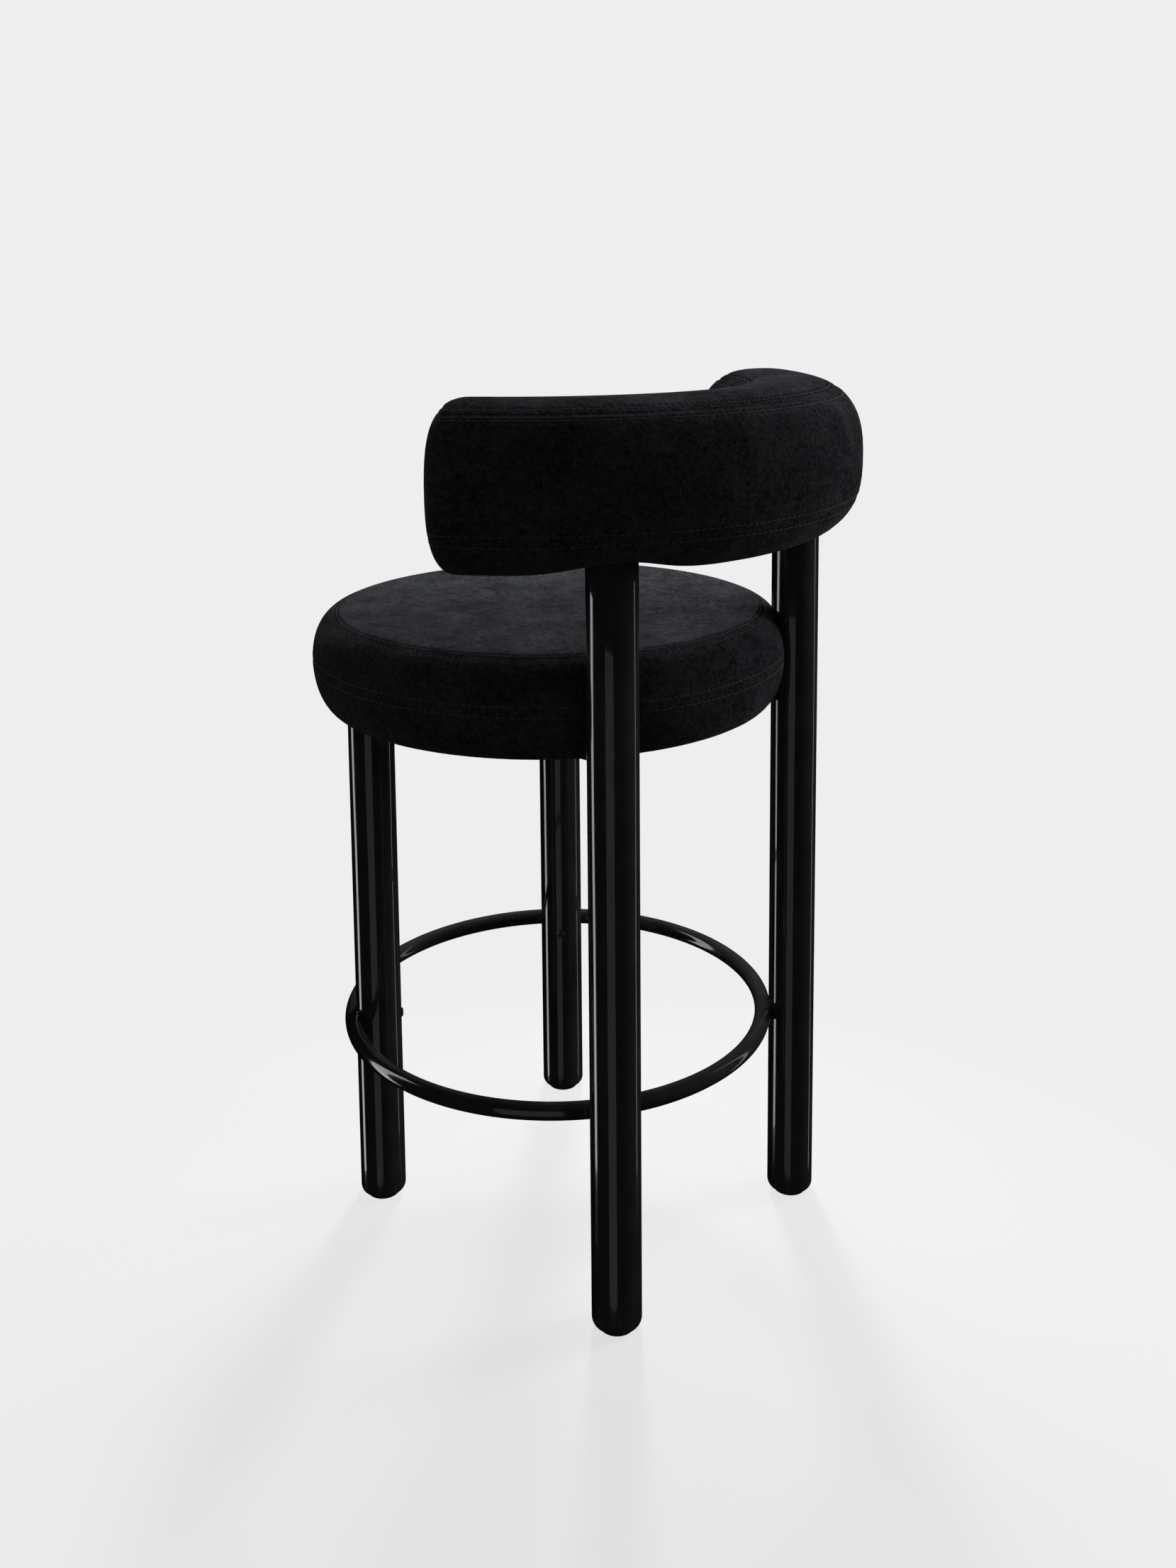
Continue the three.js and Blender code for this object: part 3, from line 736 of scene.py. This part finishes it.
dress(cushion, velvet)
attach(cushion, "root")
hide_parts("seat_cushion")

for label, (at, _, _) in SEAT_ROWS.items():
    ring = np.full(stitch_count, np.interp(at, rows, np.arange(len(rows))))
    spot = float(POINTS_A_STITCH) * np.arange(stitch_count)
    half = POINTS_A_STITCH / 2 * STITCH_SHARE
    starts, ends = picked(seat, ring, spot - half), picked(seat, ring, spot + half)
    stitches(f"seat_stitches_{label}", starts, ends, picked(out, ring, spot))

# ---- Backrest -----------------------------------------------------------------------------------
# A thick C-shaped pad in the same velvet over a shaped plywood shell, set down on the two rear
# legs. A top-stitched seam runs right round it above and another below.
pad_low, pad_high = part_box("backrest_pad")
PAD_THICK, PAD_TALL, FULLNESS = 146 * MM, 156 * MM, 2.66
PAD_RADIUS, DEEPER = 258 * MM, 1.04
HALF_ANGLE, END_ANGLE = 1.083, 0.081
ARM_STEPS = 560
pad_z = (pad_low.z + pad_high.z) / 2
pad_y = pad_high.y - (PAD_RADIUS + PAD_THICK / 2) * DEEPER

# Above the pad's middle: where each groove lies, how deep it is and how wide.
UPPER_SEAM, LOWER_SEAM = 67.5 * MM, -39 * MM
PAD_SEAMS = ((UPPER_SEAM, 1.2 * MM, 1.3 * MM), (LOWER_SEAM, 0.7 * MM, 1.2 * MM))
PAD_ROWS = {"upper_seam_lower": (63 * MM, 0.45 * MM, 1.5 * MM),
            "upper_seam_upper": (71.5 * MM, 0.8 * MM, 1.5 * MM),
            "lower_seam_upper": (-34 * MM, 0.3 * MM, 1.5 * MM),
            "lower_seam_lower": (-44 * MM, 0.35 * MM, 1.5 * MM)}


def signed_power(value, power):
    return np.sign(value) * np.abs(value) ** power


def pad_rings(bearing, shrink, turn):
    """Upright sections carried round an arc. A section is an ellipse of a higher power, full and
    square-shouldered; it shrinks to nothing over the rounding at each arm's end."""
    bearing, shrink = bearing[:, None], shrink[:, None]
    reach = PAD_RADIUS + signed_power(np.cos(turn), 2 / FULLNESS) * PAD_THICK / 2 * shrink
    lift = signed_power(np.sin(turn), 2 / FULLNESS) * PAD_TALL / 2 * shrink ** 0.6
    return np.stack([reach * np.sin(bearing), pad_y + reach * DEEPER * np.cos(bearing),
                     pad_z + lift], -1)


def turn_at(lift, shrink=1.0):
    """The outer section angle whose height above the pad's middle is lift."""
    share = np.clip(lift / (PAD_TALL / 2 * shrink ** 0.6), -1, 1)
    return np.arcsin(signed_power(share, FULLNESS / 2))


end_bend = np.linspace(0, np.pi / 2, 17)[1:-1]
end_part = HALF_ANGLE + END_ANGLE * np.sin(end_bend)
bearing = np.concatenate([-end_part[::-1], np.linspace(-HALF_ANGLE, HALF_ANGLE, ARM_STEPS), end_part])
shrink = np.concatenate([np.cos(end_bend[::-1]), np.ones(ARM_STEPS), np.cos(end_bend)])
upper_turn = [turn_at(lift) for lift in (59 * MM, 75 * MM)]
lower_turn = [turn_at(lift) for lift in (-49 * MM, -29 * MM)]
outer_face = crowded([(-np.pi / 2, lower_turn[0], 12), (*lower_turn, 20),
                      (lower_turn[1], upper_turn[0], 10), (*upper_turn, 20),
                      (upper_turn[1], np.pi / 2, 6)])
inner_face = np.pi - outer_face[:0:-1]
turns = np.concatenate([outer_face, [np.pi / 2], inner_face])
pad = pad_rings(bearing, shrink, turns)
tip = HALF_ANGLE + END_ANGLE
pad_poles = [(side * PAD_RADIUS * math.sin(tip), pad_y + PAD_RADIUS * DEEPER * math.cos(tip), pad_z)
             for side in (-1, 1)]


def pad_held(points):
    """True at the points that can't swell: both seams."""
    lift = points[:, 2] - pad_z
    return (np.abs(lift - UPPER_SEAM) < 4 * MM) | (np.abs(lift - LOWER_SEAM) < 4 * MM)


coarse_turns = np.linspace(0, 2 * np.pi, 72, endpoint=False)
coarse = pad_rings(bearing[::6], shrink[::6], coarse_turns)
pad = swollen(pad, pad_poles, blown("pad_cover", coarse, pad_poles, pad_held))

# The beat of the stitches is counted along the upper seam, on each face by its own length.
out = facing(pad, pad.mean(1, keepdims=True))
lift = pad[..., 2] - pad_z
steps = np.linalg.norm(np.diff(pad, axis=0), axis=-1)
run = np.vstack([np.zeros((1, len(turns))), np.cumsum(steps, 0)])
seam_row = {"outer": np.argmin(np.abs(turns - turn_at(UPPER_SEAM))),
            "inner": np.argmin(np.abs(turns - (np.pi - turn_at(UPPER_SEAM))))}
measure = {face: run[:, row] / STITCH_PITCH for face, row in seam_row.items()}
beat = np.cos(2 * np.pi * np.where(turns < np.pi / 2, measure["outer"][:, None],
                                   measure["inner"][:, None]))
relief = (sum(groove(lift, *seam) for seam in PAD_SEAMS)
          + sum(groove(lift, *row) for row in PAD_ROWS.values()) * (1 + beat))
pad = pad + out * relief[..., None]

# The legs hold the underside up where they go in, and the cloth hangs lower on both sides.
PULL, PULL_RADIUS = 13 * MM, 46 * MM
under = np.clip((-lift - 20 * MM) / (50 * MM), 0, 1)
for x, y, _ in rear_legs:
    far = np.linalg.norm(pad[..., :2] - [x, y], axis=-1)
    pad[..., 2] += PULL * np.exp(-(far / PULL_RADIUS) ** 2) * under ** 1.5

backrest = skin("backrest_velvet_pad", pad, pad_poles)
dress(backrest, velvet)
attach(backrest, "root")
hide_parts("backrest_pad")


def backrest_row(label, at, face):
    """Stitches at one height along one face of the pad, in step with the beat of its grooves."""
    full = np.abs(at) < PAD_TALL / 2 * shrink ** 0.6
    ring = np.flatnonzero(full).astype(float)
    angle = turn_at(at, shrink[full])
    angle = angle if face == "outer" else np.pi - angle
    spot = np.interp(angle, turns, np.arange(len(turns)))
    line = picked(pad, ring, spot)
    beats = measure[face][full]
    count = np.arange(math.ceil(beats[0]), math.floor(beats[-1]) + 1)
    half = STITCH_SHARE / 2
    starts, ends = (np.stack([np.interp(number, beats, line[:, k]) for k in range(3)], -1)
                    for number in (count - half, count + half))
    up = picked(out, np.interp(count, beats, ring), np.interp(count, beats, spot))
    stitches(f"backrest_stitches_{label}_{face}", starts, ends, up)


for label, (at, _, _) in PAD_ROWS.items():
    for face in seam_row:
        backrest_row(label, at, face)
